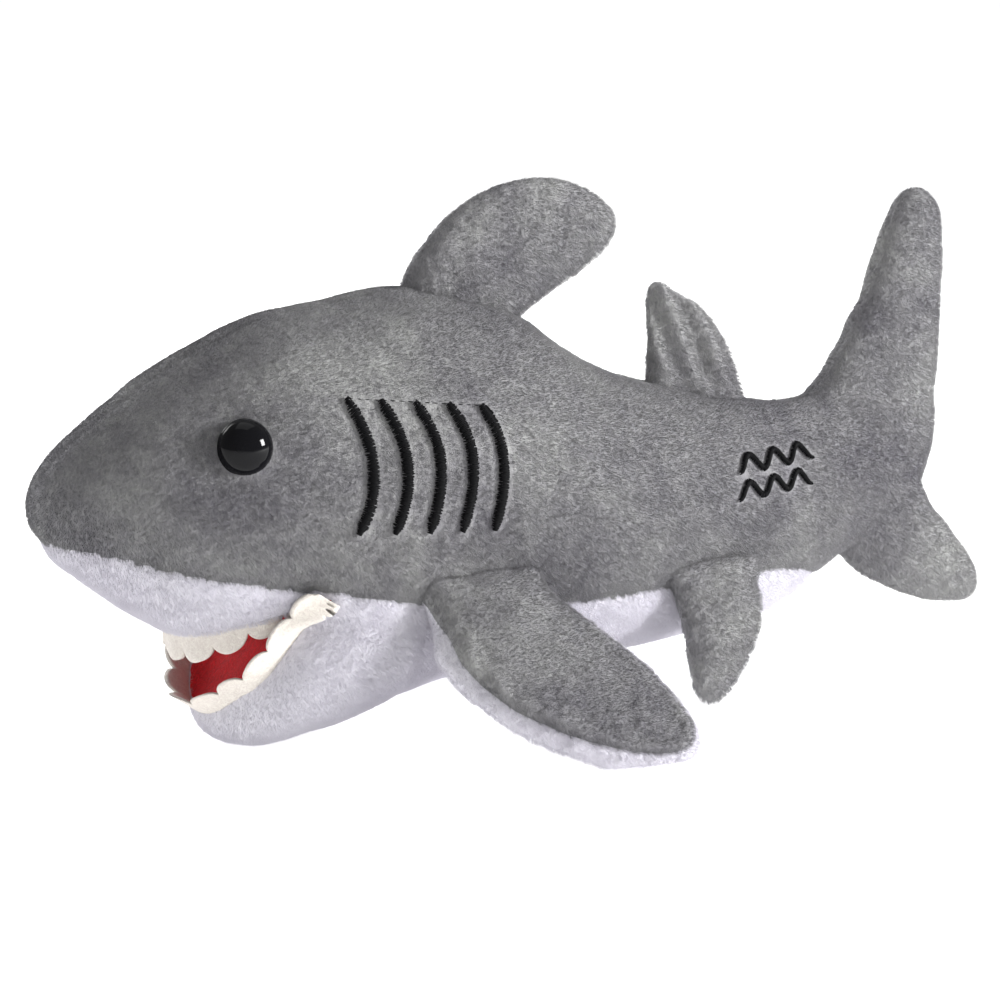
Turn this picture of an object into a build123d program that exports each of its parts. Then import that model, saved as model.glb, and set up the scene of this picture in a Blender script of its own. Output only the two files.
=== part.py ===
"""A stuffed plush shark that stands on its chin, its two pectoral fins and its two pelvic fins.

Frame: X runs from the nose to the tail, -Y is the shark's left side, +Z is up. The origin is on
the surface that the toy stands on, midway between the nose and the tip of the tail.
Stations are distances along X from the nose, in millimetres.

Each stuffed part is sewn from fabric panels around its own filling, so a panel is a thin shell and
the filling is a closed solid inside it. A fin is thin along its root seam, which is what it bends about.
"""

from build123d import *
import math
import os

# ---------------------------------------------------------------- driving dimensions, mm
LENGTH = 282.0          # nose to the tip of the tail's lower lobe
FABRIC = 1.4            # plush fabric, backing and pile together
FELT = 1.0              # felt of the teeth
SLIP = 0.8              # space left between a panel and the filling behind it
ROOT_GAP = 1.2          # a fin's root stands this far off the body, so that it can turn
WIDE = 200.0            # larger than the toy in any direction

# Body sections: station, top height, bottom height, half width.
BODY = [
    (0.0, 65.0, 58.5, 5.0),
    (7.0, 74.5, 49.5, 14.0),
    (20.0, 84.0, 38.0, 22.5),
    (40.0, 95.4, 20.5, 30.8),
    (62.0, 103.4, 5.5, 36.0),
    (95.0, 107.0, 10.0, 38.2),
    (127.0, 97.0, 10.0, 36.0),
    (155.0, 81.8, 9.4, 30.8),
    (190.0, 72.6, 11.0, 22.0),
    (217.0, 69.5, 18.5, 15.0),
    (240.0, 67.5, 28.5, 9.0),
]

# Lower jaw sections, on the same pattern.
JAW = [
    (37.6, 11.0, 4.0, 9.0),
    (41.5, 26.0, 1.0, 18.0),
    (50.5, 38.0, -0.4, 26.0),
    (66.0, 46.0, 1.0, 33.0),
]

# Height of the seam between the grey back and the white belly, against the station.
COLOUR_SEAM = [
    (-6.0, 54.5), (11.0, 53.0), (31.0, 47.3), (53.0, 42.8), (62.0, 41.2), (83.0, 36.5),
    (98.0, 33.5), (127.0, 30.5), (156.0, 29.6), (188.0, 28.0), (204.0, 24.5), (216.0, 13.0),
]

# The mouth: its corner is where the jaw hinges, and both lips are straight from there.
MOUTH_CORNER = (62.0, 40.0)
UPPER_LIP_FRONT = (31.0, 29.0)
LOWER_LIP_FRONT = (38.5, 7.0)
THROAT_RELIEF_DEG = 7.5     # the throat leans back this much, so that the jaw can open further
HINGE_RELIEF = 1.6          # radius left free around the jaw's hinge line
LINING = 1.3                # red lining
TOOTH_HEIGHT = 8.0
TEETH_END = 50.0            # station where both strips of teeth end
UPPER_TEETH_INSET, LOWER_TEETH_INSET = 0.4, 2.2  # how far behind the fabric each strip stands
JAW_CLOSING_ROOM_DEG = 11.0  # the lower teeth stop this far below the upper lip, seen from the hinge

# The tail bends about an upright line through this station.
TAIL_HINGE = 218.0
TAIL_KNUCKLE = 15.6         # radius of the round end that turns
KNUCKLE_GAP = 0.4

# Eyes: plastic safety eyes, a dome on a stem that a washer locks behind the fabric.
EYE_STATION, EYE_HEIGHT = 41.0, 78.0
EYE_RADIUS, EYE_DOME = 6.0, 4.6
EYE_FORWARD = 0.28          # how far an eye's direction leans toward the nose
EYE_OFF = 0.8               # the dome's rim stands this far off the fabric's curve
STEM_RADIUS, STEM_LENGTH = 1.6, 9.0
WASHER_RADIUS, WASHER_THICKNESS, WASHER_BORE_GAP = 5.0, 1.2, 0.02

# Gill slits: five bars of satin stitch on each side.
GILL_COUNT, GILL_PITCH, GILL_FIRST = 5, 8.2, 66.5
GILL_TOP, GILL_BOTTOM, GILL_BULGE, GILL_WIDTH = 85.0, 56.0, 4.6, 2.8
STITCH_LIFT = 0.6           # how far embroidery stands off the fabric
STITCH_CLEAR = 0.4

# Two plain wavy lines, embroidered on the left flank.
WAVE_LINES = (181.0, 57.6), (183.5, 51.2)       # station and height where each line starts
WAVE_LENGTH, WAVE_AMPLITUDE = 27.0, 1.9
WAVE_COUNT, WAVE_THREAD = 3, 1.5

# Fins. Each row: distance from the root, front edge, rear edge, half thickness.
DORSAL_ROOT = (96.0, 107.0), (127.0, 98.0)      # station and height of the root's two ends
DORSAL = [
    (-2.0, -16.5, 15.0, 1.5), (3.0, -15.8, 19.5, 2.4), (9.0, -13.8, 25.5, 4.8), (15.0, -11.0, 30.8, 6.2),
    (21.0, -7.0, 35.5, 6.2), (26.0, -2.2, 38.4, 5.4), (30.0, 2.8, 38.8, 4.0), (32.5, 7.6, 36.0, 2.6),
    (33.8, 12.5, 30.5, 1.4),
]
SECOND_DORSAL_ROOT = (167.0, 78.3), (196.0, 71.0)
SECOND_DORSAL = [
    (-1.5, -14.6, 14.8, 1.4), (3.0, -15.4, 12.6, 2.1), (8.0, -16.6, 9.2, 3.6), (13.0, -17.8, 5.0, 3.8),
    (18.0, -19.0, -0.4, 3.3), (21.5, -19.8, -6.6, 2.5), (24.0, -20.2, -14.0, 1.5),
]
PECTORAL_ROOT = (98.0, 35.8, 35.5)              # station, distance from the middle, height
PECTORAL_DROOP_DEG = 47.2
PECTORAL = [
    (0.0, -14.0, 16.5, 1.6), (5.0, -13.4, 20.4, 4.0), (12.0, -12.8, 25.2, 6.0), (20.0, -11.0, 31.0, 6.8),
    (27.0, -6.6, 35.2, 6.6), (33.0, 0.0, 37.8, 5.8), (38.0, 7.0, 39.4, 4.8), (42.0, 14.5, 39.9, 3.8),
    (45.2, 23.0, 39.0, 2.6), (46.8, 29.0, 37.0, 1.6),
]
PELVIC_ROOT = (170.0, 27.8, 29.0)
PELVIC_DROOP_DEG = 75.0
PELVIC = [
    (0.0, -11.0, 12.6, 1.5), (5.0, -10.2, 13.8, 2.8), (11.0, -9.8, 12.8, 3.8), (17.0, -9.9, 9.8, 4.0),
    (22.0, -10.0, 6.4, 3.6), (26.0, -9.8, 2.6, 2.8), (28.6, -8.6, -1.0, 1.7),
]
UPPER_LOBE_ROOT = (240.0, 60.0)
UPPER_LOBE = [
    (-14.0, -15.0, 17.0, 7.5), (0.0, -17.5, 22.4, 8.0), (12.6, -17.6, 22.7, 7.6), (25.0, -10.2, 23.0, 7.4),
    (35.0, -3.4, 23.0, 6.8), (45.0, 1.0, 22.9, 6.0), (55.0, 4.8, 22.0, 4.8), (61.0, 8.0, 20.2, 3.4),
    (65.2, 11.4, 17.4, 1.6),
]
LOWER_LOBE_ROOT = (243.0, 45.0)
LOWER_LOBE_TIP = (281.0, 9.0)
LOWER_LOBE = [
    (-4.0, -20.0, 4.0, 8.0), (3.0, -23.4, 4.6, 9.0), (10.0, -22.6, 5.2, 9.0), (18.0, -21.0, 5.8, 8.4),
    (28.0, -18.0, 6.8, 7.4), (36.0, -14.8, 6.8, 6.2), (43.0, -11.4, 5.8, 4.8), (48.6, -8.0, 4.2, 3.2),
    (51.6, -5.2, 2.2, 1.6),
]


# ---------------------------------------------------------------- helpers
def x_of(station):
    """Row-frame X of a station."""
    return station - LENGTH / 2


def side_prism(points, half_depth=WIDE):
    """The solid through a closed outline of (station, height) points, equally deep on both sides."""
    outline = Polyline(*[(x_of(s), 0, z) for s, z in points], close=True)
    return extrude(make_face(outline), amount=half_depth, dir=(0, 1, 0), both=True)


def section(station, top, bottom, half_width):
    """One closed body section, across X."""
    place = Plane(origin=(x_of(station), 0, (top + bottom) / 2), x_dir=(0, 1, 0), z_dir=(1, 0, 0))
    return place * Ellipse(half_width, (top - bottom) / 2)


def hull_of(rows, inset):
    """The smooth solid through a table of body sections, made smaller all over by the inset."""
    sections = []
    last = len(rows) - 1
    for k, (station, top, bottom, half_width) in enumerate(rows):
        shift = inset if k == 0 else -inset if k == last else 0.0
        sections.append(section(station + shift, top - inset, bottom + inset, half_width - inset))
    return loft(sections)


def leaf(origin, chord, span, rows, inset):
    """A stuffed leaf: ellipses across its span, made smaller all over by the inset."""
    chord, span = Vector(*chord).normalized(), Vector(*span).normalized()
    first, last = rows[0][0] + inset, rows[-1][0] - inset
    sections = []
    for distance, front, rear, half in rows:
        if half - inset < 0.35:
            continue
        place = min(max(distance, first), last)
        centre = Vector(*origin) + chord * ((front + rear) / 2) + span * place
        plane = Plane(origin=centre, x_dir=chord, z_dir=span)
        sections.append(plane * Ellipse((rear - front) / 2 - inset, half - inset))
    return loft(sections)


def upright(points):
    """In-plane directions of a fin in the middle plane: along its root, and away from it."""
    (s0, z0), (s1, z1) = points
    chord = Vector(s1 - s0, 0, z1 - z0).normalized()
    return tuple(chord), tuple(Vector(0, -1, 0).cross(chord))


def midpoint(points):
    """The place halfway along a fin's root."""
    (s0, z0), (s1, z1) = points
    return x_of((s0 + s1) / 2), 0, (z0 + z1) / 2


def write(node, shape):
    """One STEP file for a node, holding its solids only."""
    solids = shape.solids()
    export_step(solids[0] if len(solids) == 1 else Compound(children=list(solids)), f"parts/{node}.step")


def stuffed_leaf(first_panel, second_panel, filling, origin, chord, span, rows, trim=None):
    """Writes a fin: two fabric panels that meet on its middle plane, and the filling between them."""
    outer = leaf(origin, chord, span, rows, 0)
    inner = leaf(origin, chord, span, rows, FABRIC)
    stuffing = leaf(origin, chord, span, rows, FABRIC + SLIP)
    if trim is not None:
        outer, stuffing = outer - trim(ROOT_GAP), stuffing - trim(ROOT_GAP + FABRIC)
    skin = outer - inner
    middle = Plane(origin=origin, x_dir=chord, z_dir=Vector(*chord).cross(Vector(*span)))
    write(first_panel, split(skin, bisect_by=middle, keep=Keep.TOP))
    write(second_panel, split(skin, bisect_by=middle, keep=Keep.BOTTOM))
    write(filling, stuffing)


def mirrored(origin, chord, span):
    """The same leaf on the other side of the middle plane."""
    return [(p[0], -p[1], p[2]) for p in (origin, chord, span)]


# ---------------------------------------------------------------- regions that cut the body
def line_height(front, station):
    """Height at a station of the straight lip that runs from the mouth's corner through a point."""
    (s0, z0), (s1, z1) = MOUTH_CORNER, front
    return z0 + (station - s0) * (z1 - z0) / (s1 - s0)


def ahead_of(station):
    """Everything between the nose and a station."""
    return side_prism([(-20, -60), (station, -60), (station, 120), (-20, 120)])


def lip_band(front, low, high):
    """The slab that follows a lip, between two heights measured square to it."""
    (s0, z0), (s1, z1) = MOUTH_CORNER, front
    length = math.hypot(s1 - s0, z1 - z0)
    ahead = (s1 - s0) / length, (z1 - z0) / length
    up = -ahead[1], ahead[0]
    if up[1] < 0:
        up = -up[0], -up[1]
    far = [(s0 + up[0] * h + ahead[0] * d, z0 + up[1] * h + ahead[1] * d)
           for h, d in ((low, -4.0), (low, WIDE), (high, WIDE), (high, -4.0))]
    return side_prism(far)


def mouth_and_jaw_space():
    """Everything that isn't the upper head in front of the throat: the open mouth and the jaw."""
    corner, front = MOUTH_CORNER, -40.0
    lean = math.tan(math.radians(THROAT_RELIEF_DEG)) * (corner[1] + 40.0)
    wedge = side_prism([corner, (front, line_height(UPPER_LIP_FRONT, front)), (front, -40.0),
                        (corner[0] + lean, -40.0)])
    return wedge + hinge_relief()


def hinge_relief():
    """The round space along the jaw's hinge line."""
    centre = Plane(origin=(x_of(MOUTH_CORNER[0]), 0, MOUTH_CORNER[1]), x_dir=(1, 0, 0), z_dir=(0, 1, 0))
    return extrude(centre * Circle(HINGE_RELIEF), amount=WIDE, both=True)


def jaw_space():
    """Below the lower lip and ahead of the mouth's corner."""
    corner = MOUTH_CORNER
    reach = 10.0
    return side_prism([corner, (reach, line_height(LOWER_LIP_FRONT, reach)), (reach, -60.0),
                       (corner[0], -60.0)]) - hinge_relief()


def belly_space():
    """Below the seam between the grey back and the white belly."""
    seam = Spline(*[(x_of(s), 0, z) for s, z in COLOUR_SEAM])
    start, end = COLOUR_SEAM[0], COLOUR_SEAM[-1]
    rest = Polyline((x_of(end[0]), 0, end[1]), (x_of(end[0]), 0, -50), (x_of(start[0]), 0, -50),
                    (x_of(start[0]), 0, start[1]))
    return extrude(make_face([seam, rest]), amount=WIDE, dir=(0, 1, 0), both=True)


def knuckle(radius):
    """Everything that turns with the tail: a round end, and all that is behind it."""
    place = Plane(origin=(x_of(TAIL_HINGE), 0, 0))
    round_end = extrude(place * Circle(radius), amount=WIDE)
    behind = Pos(x_of(TAIL_HINGE) + WIDE / 2, 0, WIDE / 2) * Box(WIDE, WIDE, WIDE)
    return round_end + behind


def half_space(side):
    """The left (-1) or right (+1) half of everything."""
    return Pos(0, side * WIDE, 0) * Box(2 * WIDE, 2 * WIDE, 2 * WIDE)


# ---------------------------------------------------------------- sub-parts
def eye_plane(side):
    """Where an eye sits: on the fabric, facing along the head's own normal."""
    behind = next(k for k, row in enumerate(BODY) if row[0] > EYE_STATION)
    (s0, t0, b0, w0), (s1, t1, b1, w1) = BODY[behind - 1], BODY[behind]
    share = (EYE_STATION - s0) / (s1 - s0)
    top, bottom, width = t0 + (t1 - t0) * share, b0 + (b1 - b0) * share, w0 + (w1 - w0) * share
    middle, half_height = (top + bottom) / 2, (top - bottom) / 2
    rise = (EYE_HEIGHT - middle) / half_height
    across = math.sqrt(1 - rise * rise)
    normal = Vector(-EYE_FORWARD, side * across, rise * width / half_height).normalized()
    foot = Vector(x_of(EYE_STATION), side * width * across, EYE_HEIGHT) + normal * EYE_OFF
    return Plane(origin=foot, x_dir=(1, 0, 0.01), z_dir=normal)


def eye(plane):
    """A domed safety eye with its stem, along the plane's normal."""
    ball_radius = (EYE_RADIUS ** 2 + EYE_DOME ** 2) / (2 * EYE_DOME)
    ball = Pos(0, 0, EYE_DOME - ball_radius) * Sphere(ball_radius)
    above = Pos(0, 0, WIDE / 2) * Box(WIDE, WIDE, WIDE)
    stem = Pos(0, 0, 1 - STEM_LENGTH / 2) * Cylinder(STEM_RADIUS, STEM_LENGTH + 2)
    return plane * (ball & above) + plane * stem


def stem_space(plane):
    """The hole that an eye's stem takes through the fabric and the filling."""
    return plane * Pos(0, 0, -STEM_LENGTH / 2) * Cylinder(STEM_RADIUS + SLIP, STEM_LENGTH + 2)


def washer_place(plane):
    """The washer's plane: behind the fabric, on the stem."""
    return plane * Pos(0, 0, -(FABRIC + 1.9 + WASHER_THICKNESS / 2))


def gill(side, index):
    """One curved bar of satin stitch, seen from the side, as a prism through that side's fabric."""
    start = GILL_FIRST + GILL_PITCH * index
    middle = (GILL_TOP + GILL_BOTTOM) / 2
    top, bottom = (x_of(start - 2.0), 0, GILL_TOP), (x_of(start), 0, GILL_BOTTOM)
    curve = ThreePointArc(top, (x_of(start + GILL_BULGE), 0, middle), bottom)
    inner = ThreePointArc(bottom, (x_of(start + GILL_BULGE - GILL_WIDTH), 0, middle),
                          (top[0] - GILL_WIDTH / 3, 0, GILL_TOP))
    closing = Line((top[0] - GILL_WIDTH / 3, 0, GILL_TOP), top)
    return extrude(make_face([curve, inner, closing]), amount=side * WIDE / 2, dir=(0, 1, 0))


def wavy_line(start, middle):
    """A band that rises and falls three times, as a prism through the left flank."""
    steps = 2 * WAVE_COUNT
    upper, lower = [], []
    for k in range(steps + 1):
        station = start + WAVE_LENGTH * k / steps
        height = middle + (WAVE_AMPLITUDE if k % 2 else -WAVE_AMPLITUDE)
        upper.append((x_of(station), 0, height + WAVE_THREAD / 2))
        lower.append((x_of(station), 0, height - WAVE_THREAD / 2))
    edges = [Spline(*upper), Line(upper[-1], lower[-1]), Spline(*lower[::-1]), Line(lower[0], upper[0])]
    return extrude(make_face(edges), amount=WIDE / 2, dir=(0, -1, 0))


def make_torso():
    """The body ahead of the tail and behind the jaw, with all that is sewn to it."""
    body = {inset: hull_of(BODY, inset) for inset in (0, FABRIC, FABRIC + SLIP)}
    away = mouth_and_jaw_space() + knuckle(TAIL_KNUCKLE + KNUCKLE_GAP)
    eyes = {side: eye_plane(side) for side in (-1, 1)}
    holes = stem_space(eyes[-1]) + stem_space(eyes[1])
    skin = (body[0] - body[FABRIC]) - away - holes
    white = belly_space()
    grey = skin - white
    below = skin & white
    write("left_side_panel", grey & half_space(-1))
    write("right_side_panel", grey & half_space(1))
    head = ahead_of(MOUTH_CORNER[0])
    write("snout_panel", below & head)
    write("belly_panel", below - head)

    palate = lip_band(UPPER_LIP_FRONT, 0, LINING) - hinge_relief()
    write("upper_mouth_lining", (body[FABRIC + SLIP] - away) & palate)
    washers = {side: washer_place(plane) for side, plane in eyes.items()}
    room = [place * Cylinder(WASHER_RADIUS + SLIP, WASHER_THICKNESS + 2 * SLIP) for place in washers.values()]
    filling = body[FABRIC + SLIP] - away - lip_band(UPPER_LIP_FRONT, -1, LINING + SLIP) - holes
    write("torso_stuffing", filling - room[0] - room[1])

    for side, name in ((-1, "left"), (1, "right")):
        write(f"{name}_eye", eye(eyes[side]))
        disc = Cylinder(WASHER_RADIUS, WASHER_THICKNESS) - Cylinder(STEM_RADIUS + WASHER_BORE_GAP, 10)
        write(f"{name}_eye_washer", washers[side] * disc)

    raised = hull_of(BODY, -(STITCH_CLEAR + STITCH_LIFT)) - hull_of(BODY, -STITCH_CLEAR)
    for side, name in ((-1, "left"), (1, "right")):
        bars = [raised & gill(side, k) for k in range(GILL_COUNT)]
        write(f"{name}_gill_embroidery", Compound(children=[b for bar in bars for b in bar.solids()]))
    lines = [raised & wavy_line(start, middle) for start, middle in WAVE_LINES]
    write("flank_embroidery", Compound(children=[piece for line in lines for piece in line.solids()]))

    band = hull_of(BODY, UPPER_TEETH_INSET) - hull_of(BODY, UPPER_TEETH_INSET + FELT)
    write("upper_teeth", band & lip_band(UPPER_LIP_FRONT, -TOOTH_HEIGHT, -0.1) & ahead_of(TEETH_END))


def make_jaw():
    """The lower jaw, which hinges at the mouth's corner."""
    jaw = {inset: hull_of(JAW, inset) for inset in (0, FABRIC, FABRIC + SLIP)}
    space = jaw_space()
    standing = Pos(0, 0, WIDE / 2) * Box(2 * WIDE, WIDE, WIDE)
    write("lower_jaw_panel", (jaw[0] - jaw[FABRIC]) & space & standing)
    bed = lip_band(LOWER_LIP_FRONT, -LINING, 0)
    write("lower_mouth_lining", jaw[FABRIC + SLIP] & space & bed)
    write("jaw_stuffing", (jaw[FABRIC + SLIP] & space) - lip_band(LOWER_LIP_FRONT, -LINING - SLIP, 1))
    band = hull_of(JAW, LOWER_TEETH_INSET) - hull_of(JAW, LOWER_TEETH_INSET + FELT)
    (s0, z0), reach = MOUTH_CORNER, 90.0
    lip = math.atan2(z0 - UPPER_LIP_FRONT[1], s0 - UPPER_LIP_FRONT[0])
    slope = math.tan(lip + math.radians(JAW_CLOSING_ROOM_DEG))
    room = side_prism([(s0, z0), (s0 - reach, z0 - reach * slope), (s0 - reach, -200), (s0, -200)])
    write("lower_teeth", band & lip_band(LOWER_LIP_FRONT, 0.1, TOOTH_HEIGHT) & ahead_of(TEETH_END) & room)


def make_fins():
    """The fins of the back, the pectoral fins and the pelvic fins."""
    grown = {}

    def body_grown(gap):
        if gap not in grown:
            grown[gap] = hull_of(BODY, -gap)
        return grown[gap]

    for prefix, root, rows in (("dorsal_fin", DORSAL_ROOT, DORSAL),
                               ("second_dorsal_fin", SECOND_DORSAL_ROOT, SECOND_DORSAL)):
        chord, span = upright(root)
        stuffed_leaf(f"{prefix}_left_panel", f"{prefix}_right_panel", f"{prefix}_stuffing",
                     midpoint(root), chord, span, rows, trim=body_grown)

    for prefix, root, droop, rows, outer, inner in (
            ("pectoral_fin", PECTORAL_ROOT, PECTORAL_DROOP_DEG, PECTORAL, "top", "bottom"),
            ("pelvic_fin", PELVIC_ROOT, PELVIC_DROOP_DEG, PELVIC, "outer", "inner")):
        station, out, height = root
        angle = math.radians(droop)
        origin, chord = (x_of(station), out, height), (1, 0, 0)
        span = (0, math.cos(angle), -math.sin(angle))
        stuffed_leaf(f"right_{prefix}_{outer}_panel", f"right_{prefix}_{inner}_panel",
                     f"right_{prefix}_stuffing", origin, chord, span, rows)
        origin, chord, span = mirrored(origin, chord, span)
        stuffed_leaf(f"left_{prefix}_{inner}_panel", f"left_{prefix}_{outer}_panel",
                     f"left_{prefix}_stuffing", origin, chord, span, rows)


def tail_solid(inset):
    """The tail: its round front end, and the upper and lower lobes."""
    core = hull_of(BODY, inset) & knuckle(TAIL_KNUCKLE - inset)
    upper = leaf((x_of(UPPER_LOBE_ROOT[0]), 0, UPPER_LOBE_ROOT[1]), (1, 0, 0), (0, 0, 1), UPPER_LOBE, inset)
    (s0, z0), (s1, z1) = LOWER_LOBE_ROOT, LOWER_LOBE_TIP
    away = Vector(s1 - s0, 0, z1 - z0).normalized()
    across = Vector(0, 1, 0).cross(away)
    if across.Z < 0:
        across = across * -1
    lower = leaf((x_of(s0), 0, z0), tuple(across), tuple(away), LOWER_LOBE, inset)
    return core + upper + lower


def make_tail():
    """The tail, which bends from side to side."""
    skin = tail_solid(0) - tail_solid(FABRIC)
    write("left_tail_panel", skin & half_space(-1))
    write("right_tail_panel", skin & half_space(1))
    write("tail_stuffing", tail_solid(FABRIC + SLIP))


os.makedirs("parts", exist_ok=True)
make_torso()
make_jaw()
make_fins()
make_tail()
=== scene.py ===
"""The looks of the plush shark: short-pile skins over its filling, felt teeth, satin-stitched gills.

Lengths here are in millimetres until a mesh is made. A place is (station, y, z): the station runs from
the nose towards the tail, y is negative on the shark's left, and z is up from the floor.
"""

import math
import random

import bmesh
import bpy
import numpy as np
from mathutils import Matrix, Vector, noise
from mathutils.bvhtree import BVHTree
from mathutils.kdtree import KDTree


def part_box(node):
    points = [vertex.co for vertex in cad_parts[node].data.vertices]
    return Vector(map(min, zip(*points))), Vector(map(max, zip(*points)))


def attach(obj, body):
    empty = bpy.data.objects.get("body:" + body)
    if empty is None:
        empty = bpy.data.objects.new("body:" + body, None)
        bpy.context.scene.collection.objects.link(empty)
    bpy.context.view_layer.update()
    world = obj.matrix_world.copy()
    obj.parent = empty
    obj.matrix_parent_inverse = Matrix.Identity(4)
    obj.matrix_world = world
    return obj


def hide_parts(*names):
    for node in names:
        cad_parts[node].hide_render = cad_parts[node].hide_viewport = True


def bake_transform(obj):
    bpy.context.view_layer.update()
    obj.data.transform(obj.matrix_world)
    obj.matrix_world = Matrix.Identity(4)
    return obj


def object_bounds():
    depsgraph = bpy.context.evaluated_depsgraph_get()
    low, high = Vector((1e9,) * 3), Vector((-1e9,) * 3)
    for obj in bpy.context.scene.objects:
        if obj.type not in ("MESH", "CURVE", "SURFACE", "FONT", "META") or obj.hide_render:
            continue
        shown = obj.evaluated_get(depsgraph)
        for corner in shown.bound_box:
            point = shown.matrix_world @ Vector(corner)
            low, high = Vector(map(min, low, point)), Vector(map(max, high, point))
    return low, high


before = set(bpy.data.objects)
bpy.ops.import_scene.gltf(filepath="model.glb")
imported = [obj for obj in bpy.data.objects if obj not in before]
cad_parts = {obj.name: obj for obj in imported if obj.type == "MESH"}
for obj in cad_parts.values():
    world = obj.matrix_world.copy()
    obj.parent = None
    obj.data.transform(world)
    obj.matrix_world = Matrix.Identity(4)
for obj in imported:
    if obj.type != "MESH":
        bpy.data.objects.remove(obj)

CAD_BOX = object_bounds()
NOSE = CAD_BOX[0].x * 1000
random.seed(7)

# ---------------------------------------------------------------- the body: (station, height or half width)
TOP = [(0, 61), (0.8, 65.5), (3.2, 69.8), (8, 75), (18, 82.4), (30, 90), (43, 96.8), (58, 102), (77, 105.2),
       (96, 106.8), (112, 104), (127, 97.6), (138, 89.8), (153, 82.4), (167, 77.7), (197, 71.2), (211, 69.4),
       (224, 70), (236, 68), (248, 61), (256, 52)]
BOTTOM = [(0, 61), (0.8, 57), (3.2, 52.4), (8, 47.4), (16, 41.2), (31, 30.0), (44, 26), (58, 20.5), (64, 12),
          (70, 6.5), (77, 5.2), (103, 9.4), (157, 9.4), (174, 10.3), (205, 12.8), (221, 21.2), (229, 25.5),
          (240, 31), (250, 37), (256, 44)]
WIDTH = [(0, 0), (0.8, 4.8), (3.2, 9.6), (8, 15), (18, 22), (30, 27.5), (43, 31.5), (58, 34.5), (77, 37),
         (96, 38), (127, 36), (153, 31), (174, 26.3), (197, 20), (211, 16.2), (224, 13), (236, 10.5),
         (248, 7.5), (256, 4)]
JAW_TOP = [(39.5, 8), (40, 12), (41.5, 22), (46, 31), (52, 38), (60, 44), (82, 50)]
JAW_BOTTOM = [(39.5, 7.4), (40, 5.6), (42.5, 2.6), (47, 0.6), (52, 0.1), (63, 2), (82, 7)]
JAW_WIDTH = [(39.5, 0), (40, 5.2), (42.5, 12.6), (46.6, 20), (52, 25.8), (60, 30.5), (70, 33.5), (82, 34)]
COLOUR_SEAM = [(-6, 55.0), (11, 53), (31, 47.3), (53, 42.8), (62, 41.4), (83, 36.5), (98, 33.5), (127, 30.5),
               (156, 29.8), (188, 28.5), (204, 26.6), (214, 24.0), (222, 19), (226, 8)]
MOUTH_CORNER = (62.0, 40.0)
UPPER_LIP = (31.0, 29.2)
LOWER_LIP = (38.5, 7.2)
THROAT_SPLIT = 106.0        # the jaw's skin and the belly's skin join here
WHITE_END = 226.0           # the white underside ends under the tail here
UPPER_LOBE = [(214, 62), (219, 70.2), (224, 74.5), (230.5, 83.5), (237, 94.8), (241.3, 105.5), (244.7, 114.9),
              (248.7, 122.4), (254.7, 125.2), (260.6, 120.6), (263.2, 109.8), (263.8, 92), (263, 73.5),
              (262, 55), (257, 42), (240, 38), (222, 46)]
LOWER_LOBE = [(222, 46), (228, 30), (233, 24.2), (241, 17.6), (250.8, 12.3), (263, 8.0), (274.7, 5.9),
              (280.2, 6.6), (281.6, 10.9), (277.8, 19.5), (270, 28.4), (261.5, 36.6), (256, 46), (240, 56)]
VOXEL = 1.5                 # the skins' mesh
SEAM_DEPTH, SEAM_REACH = 1.3, 2.0            # the seam between grey and white
BACK_SEAM_DEPTH, BACK_SEAM_REACH = 0.45, 1.4  # the seam along the back and round the tail
EYE_DIMPLE, EYE_DIMPLE_REACH = 1.3, 8.5
HEM = 1.6                   # how far a skin's edge turns in at the lips
EDGE_ROLL, SEAM_LIFT = 4.2, 2.6  # the white underside of a pectoral fin rolls out and up to its seam
FLOOR_GAP = 0.3             # the fins lie at least this far above the floor
EYE_RADIUS, EYE_DOME = 6.45, 4.9
PILE_LENGTH, PILE_PER_MM2, PILE_CHILDREN = 0.75, 1.6, 9
PILE_FLOW = (0.5, 0.0, -0.45)    # brushed back towards the tail, and down
BARE_REACH = 1.0            # no pile grows this near to stitches or an eye

# ---------------------------------------------------------------- stitches and felt
GILLS, GILL_WIDTH = 5, 2.9
WAVE_WIDTH, WAVES, WAVE_STEPS = 1.5, 3, 60
THREAD_RADIUS, THREAD_SPACING = 0.23, 0.34
RUNNING_RADIUS, RUNNING_STITCHES = 0.14, 4   # the fine row of stitches between two gills
FELT_HALF_THICKNESS, FELT_ROWS = 0.55, 9
LIP_LAP = 1.0               # how far a felt strip reaches back past the lip's edge
SNOUT_LAP, LAP_EASE = 6.0, 3.0   # the lower strip moves out to the snout from this far under the lip
SNOUT_CLEARANCE = 1.3
LINING_ROWS, MOUTH_HALF_WIDTH = 24, 31.0

# ---------------------------------------------------------------- fins: outlines across their own plane
DORSAL_ROOT = (111.5, 0, 102.5), (0.96, 0, -0.279), (0.279, 0, 0.96)
DORSAL = [(-17.5, -7), (-16.1, 0), (-14.8, 6), (-12.6, 11.4), (-7.9, 20.0), (0, 27.8), (9.1, 33.0),
          (19, 35.6), (29, 35.0), (36.5, 32.0), (38.6, 28.2), (37.6, 23.5), (33.5, 17.6), (28.6, 12.6),
          (23.9, 8.0), (19.4, 3.6), (16.5, -1), (15, -7)]
SECOND_ROOT = (181.5, 0, 74.65), (0.97, 0, -0.244), (0.244, 0, 0.97)
SECOND = [(-14.5, -6), (-14.6, 0), (-16.2, 8), (-18.3, 17.5), (-19.7, 23.4), (-17.8, 25.6), (-13, 24.3),
          (-4, 22.0), (4.2, 17.2), (10.2, 11.2), (14.2, 5.4), (17.0, 0), (18, -6)]
PECTORAL_ROOT = (98.0, 35.8, 35.5)
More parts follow.
